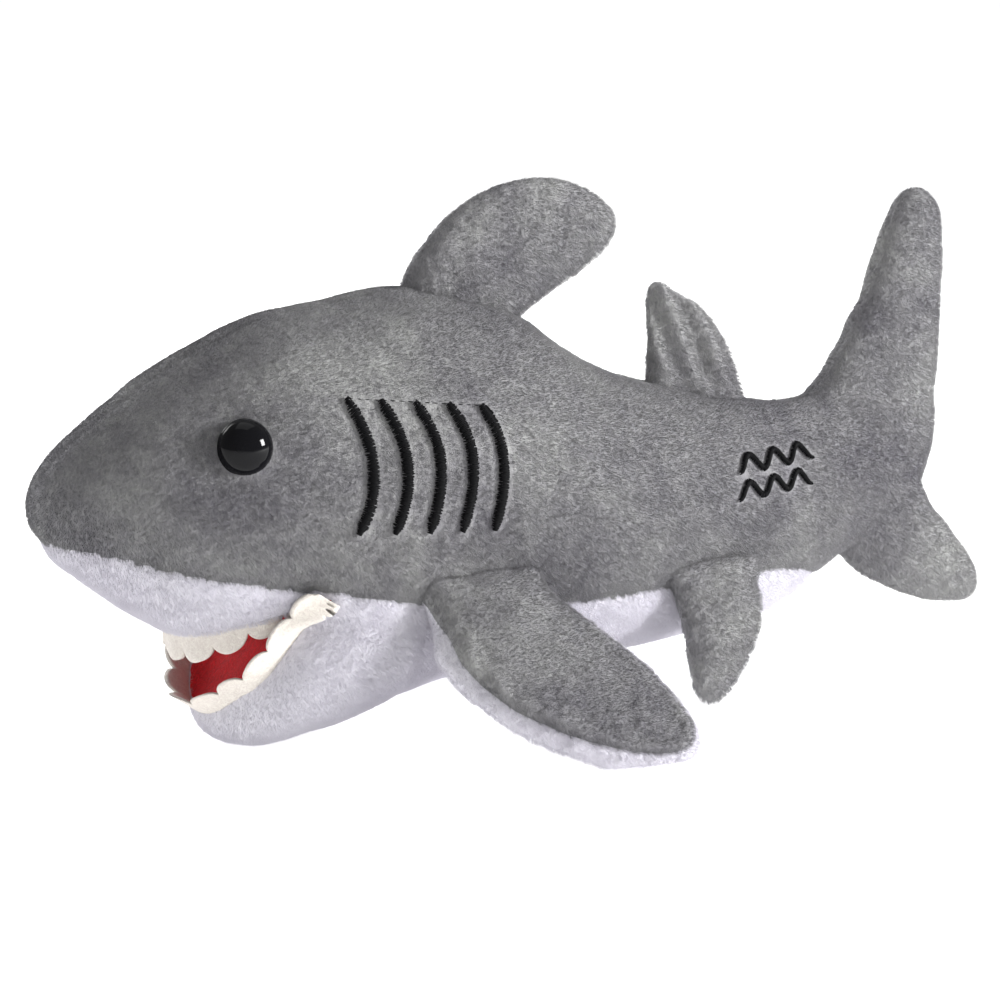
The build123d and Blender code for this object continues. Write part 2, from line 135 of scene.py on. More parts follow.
PECTORAL = [(-14.5, -8), (-14.0, 0), (-13.2, 8), (-12.4, 16.5), (-9.2, 22.9), (-4.4, 29.2), (2.3, 34.6),
            (8.5, 38.8), (15.6, 42.4), (22.8, 45.2), (30.5, 46.9), (36.6, 46.4), (39.7, 42.6), (39.4, 37.2),
            (37.3, 31.6), (34.4, 25.6), (31, 20.3), (27.3, 15.4), (23.9, 10.6), (20.4, 5), (17.1, -1),
            (14.5, -8)]
PELVIC_ROOT = (170.0, 27.8, 29.0)
PELVIC = [(-11.5, -6), (-11, 0), (-9.9, 7), (-9.6, 14), (-9.4, 21), (-8.6, 26), (-5.8, 28.7), (-1.9, 28.2),
          (2.4, 25.0), (7.0, 20.2), (11, 14.2), (13.6, 7.6), (13.4, 0), (13, -6)]


def curve_through(points):
    """A smooth function through (where, value) points that never swings past them."""
    xs, ys = np.array(points, float).T
    steps = np.diff(xs)
    slopes = np.diff(ys) / steps
    bends = np.zeros(len(xs))
    for k in range(1, len(xs) - 1):
        if slopes[k - 1] * slopes[k] > 0:
            before, after = 2 * steps[k] + steps[k - 1], steps[k] + 2 * steps[k - 1]
            bends[k] = (before + after) / (before / slopes[k - 1] + after / slopes[k])
    bends[0], bends[-1] = slopes[0], slopes[-1]

    def value(where):
        where = np.clip(np.asarray(where, float), xs[0], xs[-1])
        k = np.clip(np.searchsorted(xs, where, side="right") - 1, 0, len(steps) - 1)
        t = (where - xs[k]) / steps[k]
        return (ys[k] * (1 + 2 * t) * (1 - t) ** 2 + ys[k + 1] * t * t * (3 - 2 * t)
                + steps[k] * t * (1 - t) * (bends[k] * (1 - t) - bends[k + 1] * t))
    return value


seam_height = curve_through(COLOUR_SEAM)


def to_frame(points):
    """Places in millimetres to the frame's metres."""
    points = np.array(points, float).reshape(-1, 3)
    return (points + (NOSE, 0, 0)) / 1000


def to_places(mesh_points):
    """The frame's metres to places in millimetres."""
    return np.array(mesh_points, float).reshape(-1, 3) * 1000 - (NOSE, 0, 0)


def linked(name, mesh):
    """A smooth-shaded object of that name in the scene, with that mesh."""
    mesh.polygons.foreach_set("use_smooth", [True] * len(mesh.polygons))
    obj = bpy.data.objects.new(name, mesh)
    bpy.context.scene.collection.objects.link(obj)
    return obj


def new_object(name, points, faces):
    """A mesh object of that name, from places in millimetres."""
    mesh = bpy.data.meshes.new(name)
    mesh.from_pydata([tuple(p) for p in to_frame(points)], [], faces)
    mesh.validate()
    return linked(name, mesh)


def ring_faces(rings, around, close_ends):
    """Quads between successive rings of points, and a face over each end if asked."""
    faces = []
    for k in range(rings - 1):
        for j in range(around):
            nxt = (j + 1) % around
            faces.append((k * around + j, k * around + nxt, (k + 1) * around + nxt, (k + 1) * around + j))
    if close_ends:
        faces.append(tuple(range(around))[::-1])
        faces.append(tuple((rings - 1) * around + j for j in range(around)))
    return faces


def rounded_hull(name, top, bottom, width, step=1.2, around=96):
    """A closed body through its tables of top, bottom and half width."""
    top_at, bottom_at, width_at = curve_through(top), curve_through(bottom), curve_through(width)
    first, last = top[0][0], top[-1][0]
    count = int((last - first) / step)
    shares = [1 - math.cos(math.pi * k / (2 * count)) for k in range(1, count + 1)]
    stations = [first + (last - first) * share for share in shares]
    points = []
    for s in stations:
        middle, half = (top_at(s) + bottom_at(s)) / 2, max((top_at(s) - bottom_at(s)) / 2, 0.2)
        wide = max(float(width_at(s)), 0.2)
        for j in range(around):
            turn = 2 * math.pi * j / around
            points.append((s, wide * math.cos(turn), middle + half * math.sin(turn)))
    return new_object(name, points, ring_faces(len(stations), around, True))


def closed_curve(points, count):
    """Evenly counted points of a smooth closed curve through the given ones."""
    points = np.array(points, float)
    n = len(points)
    lengths = np.linalg.norm(np.roll(points, -1, 0) - points, axis=1)
    ends = np.concatenate([[0], np.cumsum(lengths)])
    out = []
    for where in np.linspace(0, ends[-1], count, endpoint=False):
        k = min(int(np.searchsorted(ends, where, side="right")) - 1, n - 1)
        t = (where - ends[k]) / lengths[k]
        p0, p1, p2, p3 = points[k - 1], points[k], points[(k + 1) % n], points[(k + 2) % n]
        out.append(0.5 * (2 * p1 + (p2 - p0) * t + (2 * p0 - 5 * p1 + 4 * p2 - p3) * t * t
                          + (3 * p1 - p0 - 3 * p2 + p3) * t ** 3))
    return np.array(out)


def leaf(outline, spine, thickness, count=150, rings=16):
    """Half a stuffed leaf: its points (u, v, height) in rings from edge to spine, faces, and points a ring."""
    edge = closed_curve(outline, count)
    a, b = np.array(spine[0], float), np.array(spine[1], float)
    along = np.clip(((edge - a) @ (b - a)) / ((b - a) @ (b - a)), 0, 1)
    heart = a + along[:, None] * (b - a)
    full = np.array([thickness(t) for t in along])
    points = []
    for k in range(rings):
        r = (k / (rings - 1)) ** 1.35
        flat = edge + (heart - edge) * r
        height = full * (1 - (1 - r) ** 2.3) ** 0.5
        points.extend(np.column_stack([flat, height]))
    faces = ring_faces(rings, count, False)
    return np.array(points), faces, count


def tail_lobe(name, outline, spine, thick_root, thick_tip):
    """A closed lobe in the middle plane."""
    half, faces, _ = leaf(outline, spine, lambda t: thick_root + (thick_tip - thick_root) * t)
    other = half.copy()
    other[:, 2] *= -1
    points = np.vstack([half, other])
    n = len(half)
    faces = faces + [tuple(n + i for i in f[::-1]) for f in faces]
    obj = new_object(name, [(u, h, v) for u, v, h in points], faces)
    weld(obj, 0.02)
    return obj


def weld(obj, distance, turn_faces=True):
    """Merges points nearer than a distance in millimetres, and turns the faces outwards if asked."""
    bm = bmesh.new()
    bm.from_mesh(obj.data)
    bmesh.ops.remove_doubles(bm, verts=bm.verts, dist=distance / 1000)
    if turn_faces:
        bmesh.ops.recalc_face_normals(bm, faces=bm.faces)
    bm.to_mesh(obj.data)
    bm.free()


def join(objects):
    """The first object, with the others' meshes joined into it."""
    bpy.ops.object.select_all(action="DESELECT")
    for o in objects:
        o.select_set(True)
    bpy.context.view_layer.objects.active = objects[0]
    bpy.ops.object.join()
    return objects[0]


def apply_modifiers(obj):
    """Replaces the object's mesh by what its modifiers make of it."""
    made = bpy.data.meshes.new_from_object(obj.evaluated_get(bpy.context.evaluated_depsgraph_get()))
    obj.modifiers.clear()
    obj.data = made


def line_at(front, station):
    """Height of a lip's straight line at a station."""
    (s0, z0), (s1, z1) = MOUTH_CORNER, front
    return z0 + (station - s0) * (z1 - z0) / (s1 - s0)


def mouth_depth(p):
    """Above 0 inside the open mouth's wedge."""
    return min(line_at(UPPER_LIP, p[0]) - p[2], p[2] - line_at(LOWER_LIP, p[0]))


def cut(bm, field):
    """Cuts the mesh along the surface where field(place) is 0."""
    value = {v: float(field(to_places(v.co)[0])) for v in bm.verts}
    crossing = [v for v, f in value.items() if f == 0]
    for edge in list(bm.edges):
        a, b = edge.verts
        if value[a] * value[b] < 0:
            _, fresh = bmesh.utils.edge_split(edge, a, value[a] / (value[a] - value[b]))
            value[fresh] = 0.0
            crossing.append(fresh)
    bmesh.ops.connect_verts(bm, verts=crossing)


def whole_skin():
    """One closed skin over the head, body, jaw and tail, before it is cut into panels."""
    parts = [
        rounded_hull("skin", TOP, BOTTOM, WIDTH),
        rounded_hull("jaw", JAW_TOP, JAW_BOTTOM, JAW_WIDTH, step=0.8, around=80),
        tail_lobe("upper_lobe", UPPER_LOBE, [(238, 52), (253, 112)], 8.4, 5.2),
        tail_lobe("lower_lobe", LOWER_LOBE, [(238, 42), (272, 14)], 8.8, 5.0),
    ]
    skin = join(parts)
    remesh = skin.modifiers.new("one_skin", "REMESH")
    remesh.mode = "VOXEL"
    remesh.voxel_size = VOXEL / 1000
    remesh.use_smooth_shade = True
    apply_modifiers(skin)
    relax = skin.modifiers.new("relax", "SMOOTH")
    relax.factor, relax.iterations = 0.5, 7
    apply_modifiers(skin)
    return skin


def lumps(p, size, seed):
    """Smooth noise of about -1 to 1 over that size, in millimetres."""
    return noise.noise(Vector((p[0] / size + seed, p[1] / size, p[2] / size)))


def seam_pull(p):
    """How far the fabric is drawn in at a place by the seams near it."""
    station, y, z = p
    pull = 0.0
    if station < WHITE_END - 2:
        to_seam = abs(z - float(seam_height(station)))
        pucker = 0.75 + 0.5 * lumps(p, 3.0, 5)
        pull = SEAM_DEPTH * math.exp(-(to_seam / SEAM_REACH) ** 2) * pucker
    if z > 60 or station > 215:
        pull += BACK_SEAM_DEPTH * math.exp(-(y / BACK_SEAM_REACH) ** 2)
    return pull


def dress_skin(skin):
    """Stuffing lumps, drawn-in seams and the dimples round the eyes, moved into the mesh."""
    boxes = [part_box(f"{word}_eye") for word in ("left", "right")]
    eyes = [to_places((box[0] + box[1]) / 2)[0] for box in boxes]
    mesh = skin.data
    flat = np.zeros(len(mesh.vertices) * 3)
    mesh.vertices.foreach_get("co", flat)
    normals = np.array([v.normal for v in mesh.vertices])
    outs = np.zeros(len(normals))
    for k, p in enumerate(to_places(flat)):
        out = 0.55 * lumps(p, 17, 1) + 0.35 * lumps(p, 8, 2) - seam_pull(p)
        if p[0] > 205:
            out += 0.45 * lumps(p, 7, 9)
        for centre in eyes:
            near = np.linalg.norm(p - centre)
            out -= EYE_DIMPLE * math.exp(-(near / EYE_DIMPLE_REACH) ** 2)
        outs[k] = out / 1000
    mesh.vertices.foreach_set("co", (flat.reshape(-1, 3) + normals * outs[:, None]).ravel())
    mesh.update()


def panel(skin, name, keep):
    """The part of the cut skin whose faces' middles pass keep(place), as its own object."""
    bm = bmesh.new()
    bm.from_mesh(skin.data)
    out = [f for f in bm.faces if not keep(to_places(f.calc_center_median())[0])]
    bmesh.ops.delete(bm, geom=out, context="FACES")
    mesh = bpy.data.meshes.new(name)
    bm.to_mesh(mesh)
    bm.free()
    return linked(name, mesh)


def turn_in_lips(obj):
    """Turns the panel's edge in at the mouth, as a sewn edge turns."""
    bm = bmesh.new()
    bm.from_mesh(obj.data)
    bm.normal_update()

    def at_lip(vertex):
        p = to_places(vertex.co)[0]
        return abs(mouth_depth(p)) < 0.3 and p[0] < MOUTH_CORNER[0] + 0.3
    lips = [e for e in bm.edges if e.is_boundary and all(at_lip(v) for v in e.verts)]
    for reach in (0.45, 0.9):
        grown = bmesh.ops.extrude_edge_only(bm, edges=lips)["geom"]
        fresh = [g for g in grown if isinstance(g, bmesh.types.BMVert)]
        for v in fresh:
            p = to_places(v.co)[0]
            centre = np.array([p[0] * 0.55 + MOUTH_CORNER[0] * 0.45, p[1] * 0.55, p[2]])
            inward = centre - p
            inward /= max(np.linalg.norm(inward), 1e-6)
            v.co += Vector(inward) * HEM * reach / 1000
        lips = [g for g in grown if isinstance(g, bmesh.types.BMEdge)]
    bmesh.ops.recalc_face_normals(bm, faces=bm.faces)
    bm.to_mesh(obj.data)
    bm.free()


def subdivide(obj):
    """Smooths the object's mesh once more, for close views."""
    sub = obj.modifiers.new("finer", "SUBSURF")
    sub.levels = sub.render_levels = 1


def make_skins():
    """The fabric panels of the head, body, jaw and tail."""
    skin = whole_skin()
    bm = bmesh.new()
    bm.from_mesh(skin.data)
    cut(bm, lambda p: p[2] - float(seam_height(p[0])) if p[0] < WHITE_END else 1.0)
    cut(bm, lambda p: p[1] + 1e-5)  # the middle plane, a hair off it so that no point lies on it
    cut(bm, mouth_depth)
    cut(bm, lambda p: p[0] - THROAT_SPLIT if p[2] < 60 else -1.0)
    cut(bm, lambda p: p[0] - MOUTH_CORNER[0] if 36 < p[2] < 60 else -1.0)
    bm.to_mesh(skin.data)
    bm.free()
    dress_skin(skin)

    def grey(p):
        return p[2] > float(seam_height(p[0])) or p[0] > WHITE_END

    def snout(p):
        return not grey(p) and p[0] < MOUTH_CORNER[0] and p[2] > line_at(UPPER_LIP, p[0])

    def throat(p):
        return (not grey(p) and not snout(p) and p[0] < THROAT_SPLIT
                and (p[0] > MOUTH_CORNER[0] or mouth_depth(p) < 0))
    made = {
        "left_side_skin": panel(skin, "left_side_skin", lambda p: grey(p) and p[1] < 0),
        "right_side_skin": panel(skin, "right_side_skin", lambda p: grey(p) and p[1] > 0),
        "snout_skin": panel(skin, "snout_skin", snout),
        "jaw_and_throat_skin": panel(skin, "jaw_and_throat_skin", throat),
        "belly_skin": panel(skin, "belly_skin", lambda p: not grey(p) and p[0] > THROAT_SPLIT),
    }
    bpy.data.objects.remove(skin)
    turn_in_lips(made["snout_skin"])
    turn_in_lips(made["jaw_and_throat_skin"])
    return made


# ---------------------------------------------------------------- fins
def outward_of(edge):
    """The direction out of a closed flat outline at each of its points."""
    turn = np.roll(edge, -1, 0) - np.roll(edge, 1, 0)
    out = np.column_stack([turn[:, 1], -turn[:, 0]]) / np.linalg.norm(turn, axis=1)[:, None]
    return -out if ((edge - edge.mean(0)) * out).sum() < 0 else out


def fin_panels(names, outline, spine, origin, chord, span, thick, seed, folds=0.0):
    """Both panels of a stuffed fin. Its outline is in its own plane: along chord, and out along span."""
    origin, chord, span = (np.array(x, float) for x in (origin, chord, span))
    chord, span = chord / np.linalg.norm(chord), span / np.linalg.norm(span)
    normal = np.cross(chord, span)
    half, faces, count = leaf(outline, spine, thick)
    flat_out = outward_of(half[:count, :2])
    sides = dict(zip(names, (1, -1)))
    rolled = next((side for name, side in sides.items() if "bottom" in name), 0)
    made = []
    for name, side in sides.items():
        points = []
        for k, (u, v, h) in enumerate(half):
            ring = k // count
            near_edge = math.exp(-(ring / 5.0) ** 2)
            off_root = min(max((v - 2) / 8, 0), 1)
            gather = noise.noise(Vector((u / 2.6 + seed, v / 2.6, side * 3)))
            dent = 0.9 * noise.noise(Vector((u / 9 + seed, v / 9, side * 7)))
            h = max(h + near_edge * 0.9 * gather * min(h, 1.0) + dent * min(h / 3, 1), 0.0)
            ripple = 0.35 * noise.noise(Vector((u / 4 + seed, v / 4, 1)))
            if side == rolled:
                away = flat_out[k % count]
                roll = EDGE_ROLL * math.sin(math.pi * min(ring / 8.0, 1) ** 0.75) * off_root
                u, v = u + away[0] * roll, v + away[1] * roll
                off_root = min(max((v - 2) / 8, 0), 1)
            ripple -= rolled * SEAM_LIFT * math.exp(-(ring / 4.0) ** 2) * off_root
            in_fold = min(h / 1.5, 1) * min(max(v / 6, 0), 1)
            ripple += folds * math.sin(0.62 * (u + 0.75 * v) + 0.8) * in_fold
            place = origin + chord * u + span * v + normal * (side * h + ripple)
            place[2] = max(place[2], FLOOR_GAP)
            points.append(place)
        obj = new_object(name, points, faces)
        weld(obj, 0.02, turn_faces=False)
        facing = sum((Vector(f.normal) * f.area for f in obj.data.polygons), Vector())
        if facing.dot(Vector(normal * side)) < 0:
            obj.data.flip_normals()
        made.append(obj)
    return made


def tapered(root, loss):
    """Half thickness along a fin's spine, from 0 at the root to 1 at the tip."""
    return lambda t: root - loss * t


def make_fins():
    """Every fin, as (name of body, its two panels, root place, direction out of the body)."""
    made = []
    for body, root, outline, spine, thick, seed, folds in (
            ("dorsal_fin", DORSAL_ROOT, DORSAL, [(2, 2), (27, 27)], tapered(7.2, 2.6), 11, 0.0),
            ("second_dorsal_fin", SECOND_ROOT, SECOND, [(1, 0), (-14, 20)], tapered(3.2, 1.0), 23, 0.9)):
        origin, chord, span = root
        names = f"{body}_right_skin", f"{body}_left_skin"
        panels = fin_panels(names, outline, spine, origin, chord, span, thick, seed, folds)
        made.append((body, panels, origin, span))
    for side, word in ((-1, "left"), (1, "right")):
        for kind, root, outline, spine, droop, thick, faces in (
                ("pectoral_fin", PECTORAL_ROOT, PECTORAL, [(2, 3), (25, 36)], 47.2, tapered(7.6, 2.2),
                 ("bottom_skin", "top_skin")),
                ("pelvic_fin", PELVIC_ROOT, PELVIC, [(1, 2), (-3, 20)], 75.0, tapered(4.4, 1.2),
                 ("inner_skin", "outer_skin"))):
            angle = math.radians(droop)
            origin = (root[0], side * root[1], root[2])
            span = (0, side * math.cos(angle), -math.sin(angle))
            names = [f"{word}_{kind}_{face}" for face in (faces if side < 0 else faces[::-1])]
            seed = 31 + 7 * side + len(kind)
            panels = fin_panels(names, outline, spine, origin, (1, 0, 0), span, thick, seed)
            made.append((f"{word}_{kind}", panels, origin, span))
    return made


# ---------------------------------------------------------------- threads, teeth, eyes, lining
def surface_of(objects):
    """A tree that finds the first hit of a ray on some objects, in metres."""
    points, faces = [], []
    for o in objects:
        start = len(points)
        points.extend(v.co.copy() for v in o.data.vertices)
        faces.extend([start + i for i in f.vertices] for f in o.data.polygons)
    return BVHTree.FromPolygons(points, faces)


def on_side(tree, station, z, side):
    """(place, normal) on the skin of that side at a station and height."""
    start = Vector(to_frame((station, side * 90, z))[0])
    hit, normal, _, _ = tree.ray_cast(start, Vector((0, -side, 0)))
    if hit is None:
        return None
    return to_places(hit)[0], np.array(normal)


def strand(points, radius, points_out, faces_out, sides=6):
    """Adds a thin rounded thread along some places to the lists of points and faces."""
    points = np.array(points, float)
    start = len(points_out)
    n = len(points)
    for k, p in enumerate(points):
        ahead = points[min(k + 1, n - 1)] - points[max(k - 1, 0)]
        ahead = ahead / max(np.linalg.norm(ahead), 1e-9)
        side = np.cross(ahead, (0.31, 0.52, 0.79))
        side /= np.linalg.norm(side)
        up = np.cross(ahead, side)
        share = 0.35 if k in (0, n - 1) else 1.0
        for j in range(sides):
            turn = 2 * math.pi * j / sides
            points_out.append(p + (side * math.cos(turn) + up * math.sin(turn)) * radius * share)
    for k in range(n - 1):
        for j in range(sides):
            nxt = (j + 1) % sides
            faces_out.append((start + k * sides + j, start + k * sides + nxt,
                              start + (k + 1) * sides + nxt, start + (k + 1) * sides + j))
    faces_out.append(tuple(start + j for j in range(sides))[::-1])
    faces_out.append(tuple(start + (n - 1) * sides + j for j in range(sides)))


def satin_bar(path, width, tree, side, points_out, faces_out):
    """Satin stitch along a path of (station, height): short threads laid side by side across it."""
    path = np.array(path, float)
    steps = np.linalg.norm(np.diff(path, axis=0), axis=1)
    total = steps.sum()
    ends = np.concatenate([[0], np.cumsum(steps)])
    count = int(total / THREAD_SPACING)
    for k in range(count + 1):
        where = total * k / count
        i = min(int(np.searchsorted(ends, where, side="right")) - 1, len(steps) - 1)
        here = path[i] + (path[i + 1] - path[i]) * (where - ends[i]) / steps[i]
        ahead = (path[i + 1] - path[i]) / steps[i]
        across = np.array([-ahead[1], ahead[0]])
        end_share = min(1.0, 0.45 + 2.2 * min(k, count - k) / count * 4)
        reach = width / 2 * end_share * (1 + 0.12 * random.uniform(-1, 1))
        across = across + ahead * random.uniform(-0.15, 0.15)
        line = []
        for t in (-1, -0.6, 0, 0.6, 1):
            found = on_side(tree, here[0] + across[0] * reach * t, here[1] + across[1] * reach * t, side)
            if found is None:
                continue
            place, normal = found
            lift = 1.1 * math.sqrt(1 - 0.93 * t * t) + 0.1
            line.append(place + normal * lift)
        if len(line) > 2:
            strand(line, THREAD_RADIUS, points_out, faces_out)


def gill_path(index):
    """The curved line of one gill, as (station, height)."""
    top = (66.6 + 8.15 * index, 86.0 - 0.9 * index)
    middle = (70.2 + 8.3 * index, 70.5)
    bottom = (65.8 + 8.6 * index, 56 - 0.6 * index)
    path = []
    for k in range(25):
        t = k / 24
        a = (1 - t) ** 2, 2 * t * (1 - t), t * t
        path.append([a[0] * top[i] + a[1] * (2 * middle[i] - (top[i] + bottom[i]) / 2) + a[2] * bottom[i]
                     for i in (0, 1)])
    return path


def running_stitches(start, end, tree, side, points_out, faces_out):
    """A row of fine stitches on a skin, between two (station, height) points."""
    for k in range(RUNNING_STITCHES):
        line = []
        for part in (0.15, 0.45, 0.75):
            t = (k + part) / RUNNING_STITCHES
            station, height = (start[i] + (end[i] - start[i]) * t for i in (0, 1))
            place, normal = on_side(tree, station, height, side)
            line.append(place + normal * 0.75)
        strand(line, RUNNING_RADIUS, points_out, faces_out)


def make_embroidery(skins):
    """The gills on both sides and the waves on the left flank."""
    made = []
    for side, word in ((-1, "left"), (1, "right")):
        tree = surface_of([skins[f"{word}_side_skin"]])
        points, faces = [], []
        for index in range(GILLS):
            satin_bar(gill_path(index), GILL_WIDTH, tree, side, points, faces)
            if index < GILLS - 1:
                running_stitches(gill_path(index)[0], gill_path(index + 1)[0], tree, side, points, faces)
        made.append(new_object(f"{word}_gill_stitches", points, faces))
    tree = surface_of([skins["left_side_skin"]])
    points, faces = [], []
    low, high = (to_places(corner)[0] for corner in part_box("flank_embroidery"))
    middle, swing = (low[2] + high[2]) / 2, (high[2] - low[2]) * 0.16
    for shift in (-0.26, 0.26):
        line = middle + shift * (high[2] - low[2])
        path = []
        for k in range(WAVE_STEPS + 1):
            station = low[0] + (high[0] - low[0]) * (k / WAVE_STEPS + shift * 0.12)
            path.append((station, line - swing * math.cos(2 * WAVES * math.pi * k / WAVE_STEPS)))
        satin_bar(path, WAVE_WIDTH, tree, -1, points, faces)
    made.append(new_object("flank_wave_stitches", points, faces))
    return made


def rim(skin, lip, count, past_corner):
    """Evenly spaced places along a lip's edge, round the front and past each corner, and their length."""
    found = []
    for v in skin.data.vertices:
        p = to_places(v.co)[0]
        if abs(p[2] - line_at(lip, p[0])) < 0.25 and p[0] < MOUTH_CORNER[0] - 0.4:
            found.append((math.atan2(p[1], MOUTH_CORNER[0] - p[0]), p))
    found.sort(key=lambda item: item[0])
    angles = np.array([a for a, _ in found])
    places = np.array([p for _, p in found])
    out = []
    for angle in np.linspace(angles[0], angles[-1], 90):
        weight = np.exp(-((angles - angle) / 0.04) ** 2)
        out.append((places * weight[:, None]).sum(0) / weight.sum())
    out = np.array(out)
    first, last = out[0] - out[4], out[-1] - out[-5]
    out = np.vstack([out[0] + first / np.linalg.norm(first) * past_corner, out,
                     out[-1] + last / np.linalg.norm(last) * past_corner])
    steps = np.linalg.norm(np.diff(out, axis=0), axis=1)
    ends = np.concatenate([[0], np.cumsum(steps)])
    even = np.linspace(0, ends[-1], count)
    return np.column_stack([np.interp(even, ends, out[:, i]) for i in range(3)]), ends[-1]


def outside(tree, p):
    """A place of the lower strip, moved out to the snout's skin where the strip laps over the snout."""
    lip = line_at(UPPER_LIP, p[0])
    over = p[2] - lip
    if over < -SNOUT_LAP or abs(p[1]) < 12:
        return p
    side = math.copysign(1, p[1])
    found = on_side(tree, min(p[0], MOUTH_CORNER[0] - 0.5), max(p[2], lip + 0.6), side)
    if found is None:
        return p
    share = min((over + SNOUT_LAP) / LAP_EASE, 1)
    wanted = abs(found[0][1]) + SNOUT_CLEARANCE
    return np.array([p[0], side * max(abs(p[1]), abs(p[1]) + (wanted - abs(p[1])) * share), p[2]])


def felt_teeth(name, lip_rim, tree, direction, height, corner_height, lobe, depth, lean, inset, seed):
    """A scalloped strip of felt that stands on a lip's edge, direction 1 up or -1 down.

    Its height goes to corner_height at the mouth's corners. Each scallop is lobe long and depth deep. The
    strip starts inset from the edge, and leans out by lean, most at the front.
    """
    rows, thick = FELT_ROWS, FELT_HALF_THICKNESS
    edge, length = lip_rim
    count = len(edge)
    front, back = [], []
    for i, p in enumerate(edge):
        run = length * i / (count - 1)
        to_corner = abs(2 * i / (count - 1) - 1)
        outward = p - np.array([MOUTH_CORNER[0] - 2, 0, p[2]])
        outward /= np.linalg.norm(outward)
        along = edge[min(i + 3, count - 1)] - edge[max(i - 3, 0)]
        rise = np.cross(outward, along)
        rise *= direction * np.sign(rise[2]) / np.linalg.norm(rise)
        phase = (run / lobe + 0.13 * noise.noise(Vector((run / 9, seed, 0)))) % 1.0
        scallop = math.sqrt(max(1 - (2 * phase - 1) ** 2, 0))
        tall = height + (corner_height - height) * to_corner ** 1.6 - depth * (1 - scallop)
        wave = 0.7 * noise.noise(Vector((run / 6, seed + 4, 1)))
        flop = lean * (1 - to_corner) ** 2
        for k in range(rows):
            t = k / (rows - 1)
            out = -inset + (lean + 2 * max(flop, 0)) * t * tall / height + wave * t
            middle = p + outward * out + rise * (tall * t - LIP_LAP)
            middle[2] = min(middle[2], float(seam_height(middle[0])) - 0.2)
            if direction > 0:
                middle = outside(tree, middle)
            front.append(middle + outward * thick)
            back.append(middle - outward * thick)
    n = len(front)
    faces = []
    for i in range(count - 1):
        for k in range(rows - 1):
            a, b, c, d = i * rows + k, (i + 1) * rows + k, (i + 1) * rows + k + 1, i * rows + k + 1
            faces.append((a, b, c, d))
            faces.append((n + d, n + c, n + b, n + a))
        top = i * rows + rows - 1
        faces.append((top, top + rows, n + top + rows, n + top))
        low = i * rows
        faces.append((low + rows, low, n + low, n + low + rows))
    for i in (0, count - 1):
        for k in range(rows - 1):
            a, b = i * rows + k, i * rows + k + 1
            faces.append((a, b, n + b, n + a) if i == 0 else (b, a, n + a, n + b))
    return new_object(name, front + back, faces)


def lining(name, edge, dome, back_shift, seed):
    """The red cloth from a lip's edge back to the line of the mouth's corners, bulged by dome."""
    rows = LINING_ROWS
    points = []
    count = len(edge)
    for p in edge:
        back = np.array([MOUTH_CORNER[0] + back_shift, p[1] * 0.97, MOUTH_CORNER[1]])
        start = np.array([p[0] + 0.7, p[1] * 0.975, p[2]])
        across = max(1 - (p[1] / MOUTH_HALF_WIDTH) ** 2, 0)
        for k in range(rows):
            t = k / (rows - 1)
            q = start + (back - start) * t
            crease = 0.5 * math.sin(math.pi * t) * noise.noise(Vector((q[0] / 5, q[1] / 5, seed)))
            q[2] += dome * math.sin(math.pi * min(t * 1.1, 1)) * across + crease
            points.append(q)
    faces = []
    for i in range(count - 1):
        for k in range(rows - 1):
            faces.append((i * rows + k, (i + 1) * rows + k, (i + 1) * rows + k + 1, i * rows + k + 1))
    return new_object(name, points, faces)


def make_eye(side, word):
    """A domed safety eye with a thin rim, where the CAD eye is."""
    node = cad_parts[f"{word}_eye"]
    points = to_places([v.co for v in node.data.vertices])
    outer = points[np.argsort(side * points[:, 1])[-40:]]
    inner = points[np.argsort(side * points[:, 1])[:20]]
    axis = outer.mean(0) - inner.mean(0)
    axis /= np.linalg.norm(axis)
    reach = (points - inner.mean(0)) @ axis
    tip = inner.mean(0) + axis * reach.max()
    radius, dome = EYE_RADIUS, EYE_DOME
    foot = tip - axis * dome
    u = np.cross(axis, (0, 0, 1))
    u /= np.linalg.norm(u)
    v = np.cross(axis, u)
    profile = [(radius * 0.55, -1.2), (radius * 0.93, -0.9), (radius * 1.03, -0.3), (radius * 1.02, 0.1)]
    for k in range(1, 22):
        a = math.pi / 2 * k / 22
        profile.append((radius * math.cos(a) ** 0.92, dome * math.sin(a)))
    around = 72
    made, faces = [], ring_faces(len(profile), around, True)
    for r, h in profile:
        for j in range(around):
            turn = 2 * math.pi * j / around
            made.append(foot + axis * h + (u * math.cos(turn) + v * math.sin(turn)) * r)
    obj = new_object(f"{word}_eye_dome", made, faces)
    weld(obj, 0.001)
    subdivide(obj)
    return obj


# ---------------------------------------------------------------- materials
def nodes_of(name):
    """A new material, its node tree, its Principled shader and a function that adds nodes."""
    material = bpy.data.materials.new(name)
    material.use_nodes = True
    tree = material.node_tree
    shader = tree.nodes["Principled BSDF"]

    def add(kind, **inputs):
        node = tree.nodes.new(kind)
        for key, value in inputs.items():
            node.inputs[key.replace("_", " ")].default_value = value
        return node
    return material, tree, shader, add


def ramp(tree, add, source, stops):
    """A colour ramp fed by a socket. Stops are (position, colour)."""
    node = add("ShaderNodeValToRGB")
    elements = node.color_ramp.elements
    while len(elements) < len(stops):
        elements.new(0.5)
    for element, (position, colour) in zip(elements, stops):
        element.position, element.color = position, (*colour, 1)
    tree.links.new(source, node.inputs["Fac"])
    return node.outputs["Color"]


